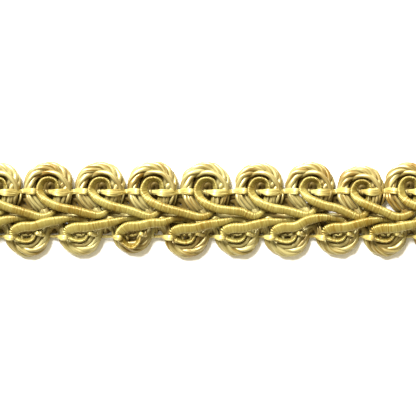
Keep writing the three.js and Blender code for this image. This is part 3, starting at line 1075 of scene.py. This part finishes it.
@dataclass
class BindingFloss:
    """A flat floss of parallel filaments that ties a row together."""

    name: str
    face: Face
    knots: list[Knot]
    ends: tuple[int, int]
    filaments: int = 8
    radius: float = 0.09
    step: float = 0.15
    seed: int = 21

    def build(self, tree: bpy.types.NodeTree, finish: bpy.types.Material) -> bpy.types.Object:
        """Lays the filaments side by side along the floss's path.

        Args:
            tree: The ribbon tree.
            finish: The floss.

        Returns:
            The thread.
        """
        level = [scroll.plain("across", "drop", "ring", "lift", "hump") for scroll in SCROLLS[self.face]]
        samples = StrandPath(self.knots, level, self.face, *self.ends).sample(self.step)
        return wound(guide_line(self.name, samples), tree, strands=self.filaments,
                     strand_radius=self.radius * MM, corners=6, unevenness=0.12,
                     seed=self.seed, finish=finish)


@dataclass
class BraidTrim:
    """The whole trim: two gimp cords, two loop yarns and three threads, each over its own node."""

    satin: FibreFinish = GIMP_SATIN
    yarn: FibreFinish = LOOP_FLOSS
    pale: FibreFinish = PALE_FLOSS

    def strands(self) -> list[tuple[GimpCord | LoopYarn | BindingFloss, str, str]]:
        """Each strand, with the node that it replaces and its slot.

        Returns:
            The strands, from the gimp to the centre thread.
        """
        upper, lower = Face.UPPER, Face.LOWER
        return [
            (GimpCord("upper_gimp_satin", upper, UPPER_GIMP, (10, 17)),
             "upper_gimp_cord", "gimp_satin"),
            (GimpCord("lower_gimp_satin", lower, LOWER_GIMP, (6, 3), seed=5),
             "lower_gimp_cord", "gimp_satin"),
            (LoopYarn("upper_yarn_loops", upper, UPPER_YARN, (17, 16)),
             "upper_loop_yarn", "loop_floss"),
            (LoopYarn("lower_yarn_loops", lower, LOWER_YARN, (3, 2), girth=LOWER_GIRTH, seed=13),
             "lower_loop_yarn", "loop_floss"),
            (BindingFloss("upper_floss_binding", upper, UPPER_FLOSS, (9, 10)),
             "upper_binding_thread", "binding_floss"),
            (BindingFloss("lower_floss_binding", lower, LOWER_FLOSS, (6, 1), seed=23),
             "lower_binding_thread", "binding_floss"),
            (BindingFloss("centre_floss_binding", upper, CENTRE_THREAD, (2, 6), filaments=4, seed=27),
             "centre_binding_thread", "binding_floss"),
        ]

    def build(self) -> list[bpy.types.Object]:
        """Builds, dresses and fastens every strand.

        Returns:
            The pieces.
        """
        wind, ribbon = winding_tree(), ribbon_tree()
        dress = {
            "gimp_satin": (wind, self.satin.material()),
            "loop_floss": (wind, self.yarn.material()),
            "binding_floss": (ribbon, self.pale.material()),
        }
        pieces = []
        for strand, node, slot in self.strands():
            piece = strand.build(*dress[slot])
            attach(piece, "root")
            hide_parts(node)
            LOG.info("%s: %d faces", piece.name, len(piece.data.polygons))
            pieces.append(piece)
        return pieces


@dataclass
class Studio:
    """The pale surface, the lights and the camera above the trim."""

    view_width: float = 55.8  # what the camera takes in, in millimetres
    view_middle: tuple[float, float] = (-0.0965, 0.047)
    view_height: float = 1.8  # the height at which it takes that in
    lens: float = 180.0
    sensor: float = 36.0
    key_power: float = 15.0
    key_spread: float = 32.0  # the sun's width in degrees, which softens the shadows
    key_direction: tuple[float, float, float] = (0.48, -0.74, -0.74)
    sky: float = 0.7
    sky_colour: tuple[float, float, float] = (1.0, 0.88, 0.6)
    floor_size: float = 1.2
    floor_grey: float = 0.93
    floor_roughness: float = 0.9

    def surface(self) -> bpy.types.Object:
        """The plain white surface under the trim.

        Returns:
            The surface.
        """
        half = self.floor_size / 2
        corners = [(-half, -half, 0), (half, -half, 0), (half, half, 0), (-half, half, 0)]
        mesh = bpy.data.meshes.new("surface")
        mesh.from_pydata(corners, [], [(0, 1, 2, 3)])
        made = bpy.data.materials.new("white_surface")
        made.use_nodes = True
        shader = made.node_tree.nodes["Principled BSDF"]
        shader.inputs["Base Color"].default_value = (self.floor_grey, self.floor_grey, self.floor_grey, 1)
        shader.inputs["Roughness"].default_value = self.floor_roughness
        mesh.materials.append(made)
        surface = bpy.data.objects.new("surface", mesh)
        bpy.context.scene.collection.objects.link(surface)
        return surface

    def lights(self) -> None:
        """A soft key light from the upper left, and a warm surround."""
        key = bpy.data.lights.new("key", "SUN")
        key.energy = self.key_power
        key.angle = math.radians(self.key_spread)
        lamp = bpy.data.objects.new("key", key)
        lamp.rotation_euler = Vector(self.key_direction).to_track_quat("-Z", "Y").to_euler()
        bpy.context.scene.collection.objects.link(lamp)
        world = bpy.data.worlds.new("surround")
        world.use_nodes = True
        background = world.node_tree.nodes["Background"]
        background.inputs[0].default_value = (*self.sky_colour, 1)
        background.inputs[1].default_value = self.sky
        bpy.context.scene.world = world

    def camera(self) -> None:
        """A long lens straight above the trim."""
        view = bpy.data.cameras.new("camera")
        view.lens = self.lens
        view.sensor_width = self.sensor
        view.clip_start = 0.01
        eye = bpy.data.objects.new("camera", view)
        away = self.view_width * MM * self.lens / self.sensor
        eye.location = (self.view_middle[0] * MM, self.view_middle[1] * MM, away + self.view_height * MM)
        bpy.context.scene.collection.objects.link(eye)
        bpy.context.scene.camera = eye
        settings = bpy.context.scene.view_settings
        settings.view_transform = "Standard"
        settings.look = "None"


def main() -> None:
    """Builds the trim and its studio."""
    logging.basicConfig(level=logging.INFO, format="%(name)s: %(message)s")
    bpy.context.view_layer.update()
    BraidTrim().build()
    studio = Studio()
    studio.surface()
    studio.lights()
    studio.camera()


if __name__ == "__main__":
    main()
